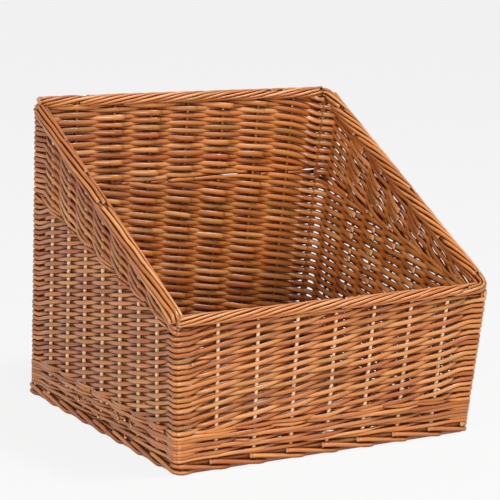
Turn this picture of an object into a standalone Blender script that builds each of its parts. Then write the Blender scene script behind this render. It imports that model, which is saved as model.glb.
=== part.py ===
"""Willow display basket with a low front, a high back and side rims that slope between them.

The basket stands on a foot of overlapping rods. Upright stakes and four corner posts rise from
it. A waled band ties them together at the bottom, and randed walls are woven on them above it.
A second weave starts at a transition line on the sides and the back, and four rolled borders
close the rim. Lengths are in metres, +Z is up, the low front faces -Y, and the origin is at the
middle of the footprint on the surface that the basket stands on.
"""
import math

import bmesh
import bpy
from mathutils import Vector

# Overall sizes
base_width = 0.450
base_depth = 0.430
front_height = 0.206
back_height = 0.420
side_flare = 0.0145
front_flare = 0.0144
back_lean = 0.034

# Rods
stake_diameter = 0.006
post_diameter = 0.010
base_stick_diameter = 0.008
weaver_thickness = 0.0046
weaver_pitch = 0.0084
waler_thickness = 0.0054
waler_pitch = 0.0084
base_weaver_thickness = 0.0040
base_weaver_pitch = 0.0160
stakes_per_wall = 7
base_stick_count = 7
wale_rows = 4

# Foot, transition and borders
foot_height = 0.016
foot_ledge = 0.004
foot_step = 0.003
foot_round = 0.005
foot_round_steps = 2
transition_height = 0.295
transition_gap = 0.005
level_border_diameter = 0.016
slope_border_diameter = 0.020
border_lobes = 5
border_twist_length = 0.300
border_ring_spacing = 0.045

# Faces round the straight rods, and the angle above which an edge stays sharp
stake_sides = 6
post_sides = 8
base_stick_sides = 6
sharp_angle = math.radians(65)

# Fits
seat_gap = 0.0003
row_gap = 0.0006
corner_round = 0.0040
base_edge_width = 0.010

# Shares of the sizes that they follow
groove_share = 0.35
lobe_valley_share = 0.82
tip_size_share = 0.5
tip_reach_share = 0.9
wale_period = 3
merge_share = 0.1
slope_search_steps = 6

collection_name = "willow_display_basket"

# Worked out from the sizes above
half_depth = (base_depth + front_flare) / 2
front_y = front_flare - half_depth
back_y = half_depth
stake_radius = stake_diameter / 2
post_radius = post_diameter / 2
stake_inset = waler_thickness + seat_gap + stake_radius
strip_depth = max(waler_thickness, weaver_thickness)
post_inset = corner_round + strip_depth + (post_radius + seat_gap) / math.sin(math.radians(45))
strip_length = post_inset + post_radius + seat_gap
wall_depth = 2 * stake_inset
base_inset = max(wall_depth, post_inset + post_radius) + seat_gap
foot_width = base_inset + foot_ledge
wale_bottom = foot_height + seat_gap
wale_top = wale_bottom + wale_rows * waler_pitch
weave_bottom = wale_top + seat_gap
slope_rise = back_height - front_height
slope_run = base_depth + front_flare - back_lean
slope_angle = math.atan2(slope_rise, slope_run)
slope_cover = slope_border_diameter / math.cos(slope_angle) + seat_gap
level_cover = level_border_diameter + seat_gap

# Walls in order round the basket, each seen from outside from its left corner to its right
walls = {
    "front": ((-1, -1), (1, -1), Vector((0, -1, 0))),
    "right": ((1, -1), (1, 1), Vector((1, 0, 0))),
    "back": ((1, 1), (-1, 1), Vector((0, 1, 0))),
    "left": ((-1, 1), (-1, -1), Vector((-1, 0, 0))),
}


def corner_point(corner, height, inset):
    """Point on a corner line of the outer faces, moved in from both faces by the inset."""
    side, end = corner
    if end < 0:
        share = height / front_height
        depth = front_y - front_flare * share + inset
    else:
        share = height / back_height
        depth = back_y - back_lean * share - inset
    width = base_width / 2 + side_flare * share - inset
    return Vector((side * width, depth, height))


def corner_top(corner):
    """Rim height at a corner."""
    return front_height if corner[1] < 0 else back_height


def slope_height(depth):
    """Height of the sloping side rim at a distance along Y."""
    return front_height + (depth - front_y + front_flare) * math.tan(slope_angle)


def transition_level(depth):
    """Height of the transition line on a side wall at a distance along Y."""
    start = front_height - slope_cover
    share = (depth - front_y) / (back_y - front_y)
    return start + (transition_height - start) * share


def along(wall):
    """Unit direction along a wall, from its left corner to its right."""
    normal = walls[wall][2]
    return Vector((-normal.y, normal.x, 0))


def stake_point(wall, share, height, offset=0.0):
    """Point on the line of a stake, pushed outwards by the offset."""
    left, right, normal = walls[wall]
    foot = corner_point(left, 0, stake_inset).lerp(corner_point(right, 0, stake_inset), share)
    left_rim = corner_point(left, corner_top(left), stake_inset)
    rim = left_rim.lerp(corner_point(right, corner_top(right), stake_inset), share)
    return foot + (rim - foot) * (height / rim.z) + normal * offset


def stake_shares():
    """Places of the stakes along a wall, as shares of its length."""
    return [number / (stakes_per_wall + 1) for number in range(1, stakes_per_wall + 1)]


def wall_places(wall, thickness):
    """Function that gives a point of a wall's weave from station, height and depth.

    Stations 0 and last are the mitre planes at the corners, the next ones in are where the rods
    leave the corner, and those between are the stakes. Depth runs inwards through the rod, from
    0 at its outer ridge to 1 at its inner one. Side is 1 outside the stake and -1 inside it.
    """
    left, right, normal = walls[wall]
    shares = stake_shares()
    last = len(shares) + 3
    reach = stake_radius + seat_gap + thickness / 2
    outer_inset = stake_inset - reach - thickness / 2

    def place(station, height, depth, side):
        if station in (0, 1, last - 1, last):
            corner = left if station < 2 else right
            inward = along(wall) if station < 2 else -along(wall)
            inset = outer_inset + depth * thickness
            if station in (0, last):
                mitre = corner_point(corner, height, corner_round + inset)
                return mitre + inward * seat_gap
            return corner_point(corner, height, 0) + inward * strip_length - normal * inset
        offset = side * reach + (1 / 2 - depth) * thickness
        return stake_point(wall, shares[station - 2], height, offset)

    return place


def base_places():
    """Function like that of wall_places for the base, whose rows run across it from the front."""
    rim_right = base_width / 2 - base_inset
    rim_left = -rim_right
    sticks = base_stick_positions()
    last = len(sticks) + 3
    reach = base_stick_diameter / 2 + seat_gap + base_weaver_thickness / 2
    middle = base_stick_level()
    ends = {
        0: rim_left,
        1: rim_left + base_edge_width,
        last - 1: rim_right - base_edge_width,
        last: rim_right,
    }

    def place(station, row_place, depth, side):
        width = ends[station] if station in ends else sticks[station - 2]
        drop = side * reach + (1 / 2 - depth) * base_weaver_thickness
        return Vector((width, row_place, middle - drop))

    return place


def base_stick_level():
    """Height of the base sticks' centres."""
    return wale_bottom + base_weaver_thickness + seat_gap + base_stick_diameter / 2


def base_stick_positions():
    """Places of the base sticks along X."""
    half_width = base_width / 2 - base_inset
    step = 2 * half_width / (base_stick_count + 1)
    return [step * (number + 1) - half_width for number in range(base_stick_count)]


def base_ends():
    """Front and back limits of the base, clear of the walls over the base's whole height."""
    top = base_stick_level() + base_stick_diameter / 2 + base_weaver_thickness + seat_gap
    front = max(corner_point((-1, -1), level, base_inset).y for level in (0, top))
    back = min(corner_point((-1, 1), level, base_inset).y for level in (0, top))
    return front, back


def woven_body(name, place, rows, last_station, in_front, material):
    """One closed body of woven rods that are joined where they turn round the corners.

    Each row holds its first and last station and a function of the station that gives its lower
    and upper limit there. A rod has four sides and bends only at the stakes, going outside one
    and inside the next. At a corner, neighbouring rods share the points of the groove between
    them and of the flat inner face, so that they are one piece there, as rods lie tight on a
    post. No modelling tool makes rods that part and join like this, so the faces are built here.
    """
    mesh = bmesh.new()
    found = {}

    def point(key, station, height, depth, side):
        if key not in found:
            found[key] = mesh.verts.new(place(station, height, depth, side))
        return found[key]

    def corner_ring(number, row, station):
        low, high = row["limits"](station)
        return [
            point(("ridge", number, station), station, (low + high) / 2, 0, 1),
            point(("groove", number + 1, station), station, high, groove_share, 1),
            point(("inner", number + 1, station), station, high, 1, 1),
            point(("inner", number, station), station, low, 1, 1),
            point(("groove", number, station), station, low, groove_share, 1),
        ]

    def stake_ring(number, row, station):
        low, high = row["limits"](station)
        side = 1 if in_front(number, station) else -1
        middle = (low + high) / 2
        keys = [(corner, number, station) for corner in ("out", "up", "in", "down")]
        spots = [
            (middle, 0),
            (high - row_gap / 2, 1 / 2),
            (middle, 1),
            (low + row_gap / 2, 1 / 2),
        ]
        return [point(key, station, *spot, side) for key, spot in zip(keys, spots)]

    def tip_ring(number, row, station, step, reach):
        sides = [1 if in_front(number, spot) else -1 for spot in (station, station + step)]
        if station + step in corner_stations:
            sides[1] = 1
        ends = [row["limits"](station), row["limits"](station + step)]
        half = tip_size_share / 2
        ring = []
        for up, inwards in ((0, -half), (half, 0), (0, half), (-half, 0)):
            spots = []
            for place_number, (low, high), side in zip((station, station + step), ends, sides):
                height = (low + high) / 2 + up * (high - low)
                spots.append(place(place_number, height, 1 / 2 + inwards, side))
            ring.append(mesh.verts.new(spots[0].lerp(spots[1], reach)))
        return ring

    def join_corner(first, second):
        for start in (4, 0, 2):
            after = (start + 1) % 5
            mesh.faces.new((first[start], second[start], second[after], first[after]))

    def join_corner_to_rod(corner, rod):
        ridge, groove_up, inner_up, inner_low, groove_low = corner
        out, up, inside, down = rod
        mesh.faces.new((ridge, out, up, groove_up))
        mesh.faces.new((groove_up, up, inner_up))
        mesh.faces.new((inner_up, up, inside))
        mesh.faces.new((inner_up, inside, inner_low))
        mesh.faces.new((inner_low, inside, down))
        mesh.faces.new((inner_low, down, groove_low))
        mesh.faces.new((groove_low, down, out, ridge))

    def join_rods(first, second):
        for start in range(4):
            after = (start + 1) % 4
            mesh.faces.new((first[start], second[start], second[after], first[after]))

    corner_stations = (0, 1, last_station - 1, last_station)
    strips = {(0, 1): [], (last_station - 1, last_station): []}
    for number, row in enumerate(rows):
        rings = []
        for station in range(row["first"], row["last"] + 1):
            at_corner = station in corner_stations
            ring = corner_ring(number, row, station) if at_corner else stake_ring(number, row, station)
            rings.append((at_corner, ring))
        step, reach = row["tip"]
        if reach > 0:
            from_station = row["last"] if step > 0 else row["first"]
            ring = tip_ring(number, row, from_station, step, reach)
            rings.insert(len(rings) if step > 0 else 0, (False, ring))
        for (first_corner, first), (second_corner, second) in zip(rings, rings[1:]):
            if first_corner and second_corner:
                join_corner(first, second)
            elif first_corner:
                join_corner_to_rod(first, second)
            elif second_corner:
                join_corner_to_rod(second, first)
            else:
                join_rods(first, second)
        mesh.faces.new(rings[0][1])
        mesh.faces.new(rings[-1][1])
        for (low_station, high_station), members in strips.items():
            if row["first"] <= low_station and row["last"] >= high_station:
                members.append(number)
    for (low_station, high_station), members in strips.items():
        if members:
            for boundary in (members[0], members[-1] + 1):
                edge = [
                    found[("groove", boundary, low_station)],
                    found[("groove", boundary, high_station)],
                    found[("inner", boundary, high_station)],
                    found[("inner", boundary, low_station)],
                ]
                mesh.faces.new(edge)
    bmesh.ops.recalc_face_normals(mesh, faces=mesh.faces)
    data = bpy.data.meshes.new(name)
    mesh.to_mesh(data)
    mesh.free()
    add_part(name, data, material)


def level_rows(bottom, pitch, count, last_station):
    """Full rows of one height from corner to corner."""
    rows = []
    for number in range(count):
        low = bottom + number * pitch
        rows.append(make_row(0, last_station, lambda station, low=low: (low, low + pitch)))
    return rows


def make_row(first, last, limits, tip_step=0, tip_reach=0.0):
    """Row of a weave, from one station to another, with its limits.

    A row that ends between two stakes has a tip, which reaches a share of the way from its last
    station to the next one, a step further on.
    """
    return {"first": first, "last": last, "limits": limits, "tip": (tip_step, tip_reach)}


def plain_weave(number, station):
    """Randing: each rod is outside every other stake, the next rod outside the others."""
    return (number + station) % 2 == 0


def wale_weave(number, station):
    """Three-rod wale: each rod is outside two stakes and inside the third."""
    return (number + station) % wale_period != 0


def station_depth(wall, station, last_station, height):
    """Y of a station of a side wall, taken on the inner side of the rods at a corner."""
    left, right, _ = walls[wall]
    mitre_inset = corner_round + strip_depth
    if station in (0, last_station):
        return corner_point(left if station == 0 else right, height, mitre_inset).y
    if station == 1:
        return corner_point(left, height, 0).y + along(wall).y * strip_length
    if station == last_station - 1:
        return corner_point(right, height, 0).y - along(wall).y * strip_length
    return stake_point(wall, stake_shares()[station - 2], height).y


def height_below_slope(depth_at, drop):
    """Height that lies a drop below the sloping rim, where Y itself changes with the height."""
    height = transition_height
    for _ in range(slope_search_steps):
        height = slope_height(depth_at(height)) - drop
    return height


def side_lower_rows(wall, pitch, last_station):
    """Level rows of a side wall below the transition line, the upper ones shorter."""
    rows = []
    top = transition_height - transition_gap / 2
    for number in range(round((top - weave_bottom) / pitch)):
        low = weave_bottom + number * pitch
        high = low + pitch

        def margin(station, high=high):
            depth = station_depth(wall, station, last_station, high)
            return transition_level(depth) - transition_gap / 2 - high

        def limits(station, low=low, high=high):
            return low, high

        rows.append(row_from_back(wall, last_station, margin, limits))
    return rows


def row_from_back(wall, last_station, margin, limits):
    """Row of a side wall from its back corner to where its margin to the transition runs out."""
    step = -1 if walls[wall][1][1] > 0 else 1
    start = last_station if step < 0 else 0
    station = start + step
    while 0 <= station + step <= last_station and margin(station + step) >= 0:
        station += step
    reach = 0.0
    if 0 <= station + step <= last_station:
        here = margin(station)
        reach = max(0.0, here / (here - margin(station + step)))
    return make_row(min(start, station), max(start, station), limits, step, reach * tip_reach_share)


def side_upper_rows(wall, pitch, last_station):
    """Rows of a side wall that run along the sloping rim, down to the transition line."""
    rows = []
    step = pitch / math.cos(slope_angle)

    def level(station, drop):
        def depth_at(height):
            return station_depth(wall, station, last_station, height)
        return height_below_slope(depth_at, slope_cover + drop)

    back_station = last_station if walls[wall][1][1] > 0 else 0
    room = level(back_station, 0) - transition_height - transition_gap / 2
    count = int(room / step)
    for number in range(count):
        drop = (count - number - 1) * step

        def limits(station, drop=drop):
            return level(station, drop + step), level(station, drop)

        def margin(station, limits=limits):
            low = limits(station)[0]
            depth = station_depth(wall, station, last_station, low)
            return low - transition_level(depth) - transition_gap / 2

        rows.append(row_from_back(wall, last_station, margin, limits))
    return rows


def make_material(name, colour, roughness):
    """Plain willow surface of one colour."""
    material = bpy.data.materials.new(name)
    material.use_nodes = True
    shader = material.node_tree.nodes["Principled BSDF"]
    shader.inputs["Base Color"].default_value = (*colour, 1)
    shader.inputs["Roughness"].default_value = roughness
    shader.inputs["Metallic"].default_value = 0
    return material


def add_part(name, data, material):
    """Object of the basket's collection."""
    part = bpy.data.objects.new(name, data)
    data.materials.clear()
    data.materials.append(material)
    bpy.data.collections[collection_name].objects.link(part)
    return part


def straight_rod(name, start, end, diameter, sides, material):
    """Round rod between two points."""
    length = (end - start).length
    mesh = bmesh.new()
    bmesh.ops.create_cone(
        mesh, cap_ends=True, segments=sides, radius1=diameter / 2, radius2=diameter / 2, depth=length)
    data = bpy.data.meshes.new(name)
    mesh.to_mesh(data)
    mesh.free()
    rod = add_part(name, data, material)
    rod.location = (start + end) / 2
    rod.rotation_mode = "QUATERNION"
    rod.rotation_quaternion = (end - start).to_track_quat("Z", "X")
    data.shade_smooth()
    data.set_sharp_from_angle(angle=sharp_angle)


def upright_rod(name, start, end, diameter, sides, material):
    """Leaning rod whose square-cut ends stay between the heights of its two end points."""
    run = end - start
    lean = math.hypot(run.x, run.y) / run.z
    trim = run * (diameter / 2 * lean / run.z)
    straight_rod(name, start + trim, end - trim, diameter, sides, material)


def foot_outline(wall, moved_in):
    """Outline of a wall's foot from above, with its outer side moved in by a distance.

    Each rod starts with a cut end on the outer face and slants inwards to the next one's end.
    """
    left, right, normal = walls[wall]
    direction = along(wall)
    start = corner_point(left, 0, 0) + direction * seat_gap
    end = corner_point(right, 0, 0) - direction * seat_gap
    gaps = stakes_per_wall + 1
    outline = [start - (normal - direction) * moved_in]
    for number in range(1, gaps):
        spot = start.lerp(end, number / gaps) - normal * moved_in
        outline.append(spot - normal * foot_step)
        outline.append(spot)
    outline.append(end - (normal + direction) * (foot_step + moved_in))
    outline.append(end - (normal + direction) * foot_width)
    outline.append(start - (normal - direction) * foot_width)
    return outline


def foot_rail(wall, material):
    """Foot of one wall: rods that overlap like shingles, with a cut end at every gap.

    Outlines lie above each other and follow a quarter circle at the lower and the upper edge of
    the outer side, which rounds the rods.
    """
    levels = []
    for step in range(foot_round_steps + 1):
        angle = math.radians(90) * step / foot_round_steps
        levels.append((foot_round * (1 - math.cos(angle)), foot_round * (1 - math.sin(angle))))
    levels += [(foot_height - height, moved_in) for height, moved_in in reversed(levels)]
    mesh = bmesh.new()
    rings = []
    for height, moved_in in levels:
        lift = Vector((0, 0, height))
        rings.append([mesh.verts.new(spot + lift) for spot in foot_outline(wall, moved_in)])
    count = len(rings[0])
    for low, high in zip(rings, rings[1:]):
        for number in range(count):
            after = (number + 1) % count
            mesh.faces.new((low[number], low[after], high[after], high[number]))
    mesh.faces.new(rings[0])
    mesh.faces.new(rings[-1])
    bmesh.ops.recalc_face_normals(mesh, faces=mesh.faces)
    data = bpy.data.meshes.new("foot_border_" + wall)
    mesh.to_mesh(data)
    mesh.free()
    add_part("foot_border_" + wall, data, material)


def lobed_profile(name, radius):
    """Outline of a bundle of rods, used as the section of a border and left out of the build."""
    data = bpy.data.curves.new(name, "CURVE")
    data.dimensions = "2D"
    spline = data.splines.new("POLY")
    count = border_lobes * 2
    spline.points.add(count - 1)
    for number, target in enumerate(spline.points):
        angle = math.tau * number / count
        reach = radius if number % 2 == 0 else radius * lobe_valley_share
        target.co = (reach * math.cos(angle), reach * math.sin(angle), 0, 1)
    spline.use_cyclic_u = True
    guide = bpy.data.objects.new(name, data)
    guide.hide_render = True
    guide.display_type = "WIRE"
    bpy.data.collections["section_guides"].objects.link(guide)
    return guide


def border(name, start, end, profile, material):
    """Rolled border: a twisted bundle of rods along a straight line."""
    length = (end - start).length
    rings = max(2, round(length / border_ring_spacing) + 1)
    data = bpy.data.curves.new(name, "CURVE")
    data.dimensions = "3D"
    data.bevel_mode = "OBJECT"
    data.bevel_object = profile
    data.use_fill_caps = True
    spline = data.splines.new("POLY")
    spline.points.add(rings - 1)
    for number, target in enumerate(spline.points):
        share = number / (rings - 1)
        target.co = (*start.lerp(end, share), 1)
        target.tilt = -math.tau * share * length / border_twist_length
    curve = bpy.data.objects.new(name + "_path", data)
    bpy.data.collections[collection_name].objects.link(curve)
    bpy.context.view_layer.update()
    evaluated = curve.evaluated_get(bpy.context.evaluated_depsgraph_get())
    solid = bpy.data.meshes.new_from_object(evaluated)
    bpy.data.objects.remove(curve)
    mesh = bmesh.new()
    mesh.from_mesh(solid)
    bmesh.ops.remove_doubles(mesh, verts=mesh.verts, dist=seat_gap * merge_share)
    bmesh.ops.recalc_face_normals(mesh, faces=mesh.faces)
    # The longer diagonal of a twisted face lies deeper, which keeps the groove between two rods
    bmesh.ops.triangulate(mesh, faces=mesh.faces, quad_method="LONG_EDGE")
    mesh.to_mesh(solid)
    mesh.free()
    solid.name = name
    add_part(name, solid, material)


def build_frame(material, post_material):
    """Stakes, corner posts and base sticks."""
    for wall in walls:
        for number, share in enumerate(stake_shares(), 1):
            start = stake_point(wall, share, wale_bottom)
            if walls[wall][2].x:
                def depth_at(height, share=share):
                    return stake_point(wall, share, height).y
                drop = slope_cover + stake_radius * math.tan(slope_angle)
                end = stake_point(wall, share, height_below_slope(depth_at, drop))
            else:
                end = stake_point(wall, share, corner_top(walls[wall][0]) - level_cover)
            upright_rod(f"{wall}_stake_{number}", start, end, stake_diameter, stake_sides, material)
    for side, side_name in ((-1, "left"), (1, "right")):
        front = (side, -1)
        start = corner_point(front, wale_bottom, post_inset)
        end = corner_point(front, front_height - max(level_cover, slope_cover), post_inset)
        upright_rod(f"{side_name}_front_corner_post", start, end, post_diameter, post_sides, post_material)
        back = (side, 1)
        start = corner_point(back, wale_bottom, post_inset)
        def post_depth(height, back=back):
            return corner_point(back, height, post_inset + post_radius).y
        end = corner_point(back, height_below_slope(post_depth, slope_cover), post_inset)
        upright_rod(f"{side_name}_back_corner_post", start, end, post_diameter, post_sides, post_material)
    front_end, back_end = base_ends()
    for number, width in enumerate(base_stick_positions(), 1):
        start = Vector((width, front_end, base_stick_level()))
        end = Vector((width, back_end, base_stick_level()))
        name = f"base_stick_{number}"
        straight_rod(name, start, end, base_stick_diameter, base_stick_sides, post_material)


def build_base(material):
    """Woven base, carried by the foot along its edges."""
    front_end, back_end = base_ends()
    count = int((back_end - front_end) / base_weaver_pitch)
    pitch = (back_end - front_end) / count
    last = base_stick_count + 3
    rows = level_rows(front_end, pitch, count, last)
    woven_body("base_weave", base_places(), rows, last, plain_weave, material)


def build_walls(weave_material, wale_material):
    """Waled band and randed weave of the four walls."""
    last = stakes_per_wall + 3
    room = front_height - level_cover - weave_bottom
    front_rows = int(room / weaver_pitch)
    pitch = room / front_rows
    for wall in walls:
        rows = level_rows(wale_bottom, waler_pitch, wale_rows, last)
        places = wall_places(wall, waler_thickness)
        woven_body(f"{wall}_wale", places, rows, last, wale_weave, wale_material)
    places = wall_places("front", weaver_thickness)
    rows = level_rows(weave_bottom, pitch, front_rows, last)
    woven_body("front_weave", places, rows, last, plain_weave, weave_material)
    places = wall_places("back", weaver_thickness)
    lower_room = transition_height - transition_gap / 2 - weave_bottom
    lower_count = round(lower_room / pitch)
    lower_pitch = lower_room / lower_count
    rows = level_rows(weave_bottom, lower_pitch, lower_count, last)
    woven_body("back_weave_lower", places, rows, last, plain_weave, weave_material)
    upper_bottom = transition_height + transition_gap / 2
    upper_room = back_height - level_cover - upper_bottom
    upper_count = int(upper_room / pitch)
    rows = level_rows(upper_bottom, upper_room / upper_count, upper_count, last)
    woven_body("back_weave_upper", places, rows, last, plain_weave, weave_material)
    for wall in ("left", "right"):
        places = wall_places(wall, weaver_thickness)
        rows = side_lower_rows(wall, lower_pitch, last)
        woven_body(f"{wall}_weave_lower", places, rows, last, plain_weave, weave_material)
        rows = side_upper_rows(wall, pitch, last)
        woven_body(f"{wall}_weave_upper", places, rows, last, plain_weave, weave_material)


def build_borders(material):
    """Rolled borders of the rim: level at the front and the back, sloping at the sides."""
    level_radius = level_border_diameter / 2
    slope_radius = slope_border_diameter / 2
    level_profile = lobed_profile("level_border_section", level_radius)
    slope_profile = lobed_profile("slope_border_section", slope_radius)
    front_left = corner_point((-1, -1), front_height, 0) + Vector((0, level_radius, -level_radius))
    front_right = corner_point((1, -1), front_height, 0) + Vector((0, level_radius, -level_radius))
    back_left = corner_point((-1, 1), back_height, 0) + Vector((0, -level_radius, -level_radius))
    back_right = corner_point((1, 1), back_height, 0) + Vector((0, -level_radius, -level_radius))
    border("front_border", front_left, front_right, level_profile, material)
    border("back_border", back_left, back_right, level_profile, material)
    uphill = Vector((0, math.cos(slope_angle), math.sin(slope_angle)))
    below = Vector((0, math.sin(slope_angle), -math.cos(slope_angle)))
    for side, name in ((-1, "left_slope_border"), (1, "right_slope_border")):
        rim = corner_point((side, -1), front_height, 0)
        line = rim - Vector((side * slope_radius, 0, 0)) + below * slope_radius
        reach = level_radius + seat_gap
        start = line + uphill * ((front_left - line).dot(uphill) + reach)
        end = line + uphill * ((back_left - line).dot(uphill) - reach)
        border(name, start, end, slope_profile, material)


def main():
    for leftover in list(bpy.data.objects):
        bpy.data.objects.remove(leftover)
    for name in (collection_name, "section_guides"):
        group = bpy.data.collections.new(name)
        bpy.context.scene.collection.children.link(group)
    stake_colour = make_material("buff_willow_stake", (0.38, 0.19, 0.07), 0.5)
    post_colour = make_material("thick_willow_rod", (0.32, 0.15, 0.055), 0.5)
    weave_colour = make_material("buff_willow_weaver", (0.46, 0.22, 0.08), 0.45)
    wale_colour = make_material("buff_willow_waler", (0.42, 0.19, 0.07), 0.45)
    border_colour = make_material("buff_willow_border", (0.50, 0.26, 0.10), 0.42)
    foot_colour = make_material("brown_willow_foot", (0.28, 0.12, 0.05), 0.5)
    for wall in walls:
        foot_rail(wall, foot_colour)
    build_base(weave_colour)
    build_frame(stake_colour, post_colour)
    build_walls(weave_colour, wale_colour)
    build_borders(border_colour)


main()
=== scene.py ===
import math
from collections import namedtuple

import bpy
import numpy as np
from bpy.props import FloatProperty, FloatVectorProperty, IntProperty, PointerProperty
from mathutils import Matrix, Vector


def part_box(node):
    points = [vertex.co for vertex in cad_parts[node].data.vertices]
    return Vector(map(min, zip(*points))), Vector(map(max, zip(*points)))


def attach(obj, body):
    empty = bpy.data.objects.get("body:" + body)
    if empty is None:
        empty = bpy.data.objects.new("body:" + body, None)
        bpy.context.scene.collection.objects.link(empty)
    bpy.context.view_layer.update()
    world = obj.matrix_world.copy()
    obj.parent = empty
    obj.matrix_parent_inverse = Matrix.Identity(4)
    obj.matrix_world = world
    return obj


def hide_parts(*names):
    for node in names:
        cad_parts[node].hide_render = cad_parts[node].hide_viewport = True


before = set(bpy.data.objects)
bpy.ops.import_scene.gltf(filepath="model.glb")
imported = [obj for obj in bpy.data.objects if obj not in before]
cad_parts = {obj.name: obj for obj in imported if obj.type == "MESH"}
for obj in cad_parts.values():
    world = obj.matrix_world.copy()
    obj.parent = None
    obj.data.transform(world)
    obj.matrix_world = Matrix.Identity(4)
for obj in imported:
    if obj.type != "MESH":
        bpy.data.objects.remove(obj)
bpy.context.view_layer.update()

# Willow display basket: every rod of the walls, the foot, the base and the borders, modelled one
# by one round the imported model. Lengths are in metres, +Z is up, and the low front faces -Y.
# A station is a place along a wall, seen from outside: 0 at its left corner, 1 to 7 at its
# stakes and 8 at its right corner.

bl_info = {
    "name": "Willow display basket",
    "version": (1, 0, 0),
    "blender": (4, 5, 0),
    "location": "3D View > Sidebar > Basket",
    "description": "Weaves the rods of a willow display basket round its packed model",
    "category": "Add Mesh",
}

# Corners as (side, end), and each wall, seen from outside: its left and right corner, and its
# outward normal
CORNERS = ((-1, -1), (1, -1), (1, 1), (-1, 1))
WALLS = {
    "front": ((-1, -1), (1, -1), (0, -1, 0)),
    "right": ((1, -1), (1, 1), (1, 0, 0)),
    "back": ((1, 1), (-1, 1), (0, 1, 0)),
    "left": ((-1, 1), (-1, -1), (-1, 0, 0)),
}
GAPS = 8
UP = np.array([0.0, 0.0, 1.0])
DIAGONAL = 1 / math.sqrt(2)

# Rods' heights that the randed rods climb from one stake to the next, and their drawn height as
# a share of the set one
CLIMBS = {"front": 1.5, "right": 1.5, "back": 1.5, "left": 2.0}
FULLNESS = {"front": 0.90, "right": 1.21, "back": 1.08, "left": 0.88}
# Tiers of a wall's weave
LOWER, UPPER, WALE = range(3)
WALE_RODS, WALE_RISE, WALE_FULLNESS = 8, 2, 1.06
# Air between the foot, the wale, the weave and the borders
SEAT = 0.0003
# Distance from the outer face round a corner at which a rod starts to turn, outside the post and
# inside it, how far it passes the mitre, its rings up to there, and the rings in each gap
OUTER_TURN, INNER_TURN = 0.01175, 0.034
MITRE_OVERLAP, CORNER_RINGS, RINGS_PER_GAP = 0.0003, 6, 8
# Largest share of a turning circle's radius that is used, so that its root stays real
CIRCLE_SHARE = 0.95
# At this corner every other rod passes inside the post, and at the others one in four does. The
# three outside it spread evenly, by these shares of the pitch
ALTERNATING_CORNER = (1, 1)
EVEN_STEPS = np.array([1 / 3, 0, -1 / 3, 0])
# Number of rods in a corner's tables, and the place of rod 0 in them
TABLE_LENGTH, TABLE_START = 160, 60
# Gaps that a rod reaches past its last inside stake with its tip and its butt, and over which it
# narrows there
TIP_REACH, BUTT_REACH, TAPER = 0.22, 0.2, 0.62
# Parts of the first and the last gap, next to the corners, in which a rod neither climbs nor
# waves
LEVEL_SHARE, CORNER_REST = 0.3, 0.22
# Stations past both ends of a wall, for rods that run on round the corner
BEFORE_ALL, AFTER_ALL = -9.0, 99.0
# Length of a gap between stakes, near enough to start a search from and to lay a tip with
GAP_LENGTH, TIP_GAP = 0.055, 0.052
# Cut tips that stick out: station and height of the tip, its length along the wall, its fall and
# its radius
TIPS = {
    "left": (
        (1.13, 0.0155, 0.010, 0.004, 0.0024), (2.96, 0.0290, 0.012, 0.006, 0.0015),
        (4.08, 0.0210, 0.012, 0.006, 0.0017), (5.17, 0.0350, 0.012, 0.007, 0.0016),
        (5.53, 0.0375, 0.004, 0.001, 0.0015), (5.89, 0.0340, 0.012, 0.008, 0.0016),
        (5.57, 0.0145, 0.010, 0.004, 0.0016)),
    "front": ((0.32, 0.1430, -0.022, 0.002, 0.0021), (1.80, 0.0355, 0.018, 0.001, 0.0017)),
}
# How far outwards from the stakes' line a cut tip starts, and how far out its outer face ends
TIP_START, TIP_END = 0.0025, 0.0085
# Thin rod beside each corner post: its distance from the outer faces and its radius
LINER_INSET, LINER_RADIUS = 0.0108, 0.0039
# Share of a border's thickness that the stakes and posts reach into it
STAKE_COVER = 0.6
# Base: rods in a band, their thickness, a band's width, and how far the rods pass the packed
# weave to reach the wale
PER_BAND, BASE_ROD, BAND_WIDTH = 4, 0.0040, 0.016
BASE_MARGIN = Vector((0.0050, 0.0055, 0.0))
# Foot: start and length of the shingled rods in gaps, length of the packing rods behind them,
# radius of their bends at a corner, shares of a shingle's length at which it starts to tuck inwards
# and that it takes for that, and the packing rods' distance from the outer face and height
SHINGLE_START, SHINGLE_LENGTH, PACKING_LENGTH = -0.14, 1.85, 2.1
SHINGLE_BEND, PACKING_BEND = 0.010, 0.006
TUCK_START, TUCK_LENGTH = 0.70, 0.16
PACKING = (
    (0.0076, 0.0035), (0.0098, 0.0120), (0.0172, 0.0042), (0.0170, 0.0120), (0.0145, 0.0176),
    (0.0222, 0.0110))
# Borders: distance of the outer rods from the route and their radius, level and sloping; strands
# and the rods that fill their middle; length of a full twist on the two routes, and the radius
# that rounds their corners; overlap of two stretches, and spacing of the rings
LEVEL_RING, LEVEL_ROD = 0.0057, 0.0023
SLOPE_RING, SLOPE_ROD = 0.0073, 0.0027
STRANDS, CORE_STRANDS, CORE_DISTANCE = 8, 3, 0.40
MAIN_TWIST, LEFT_TWIST = 0.200, 0.900
MAIN_ROUNDING, LEFT_ROUNDING = 0.014, 0.007
STRETCH_OVERLAP, ROUTE_STEP = 0.006, 0.006
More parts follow.
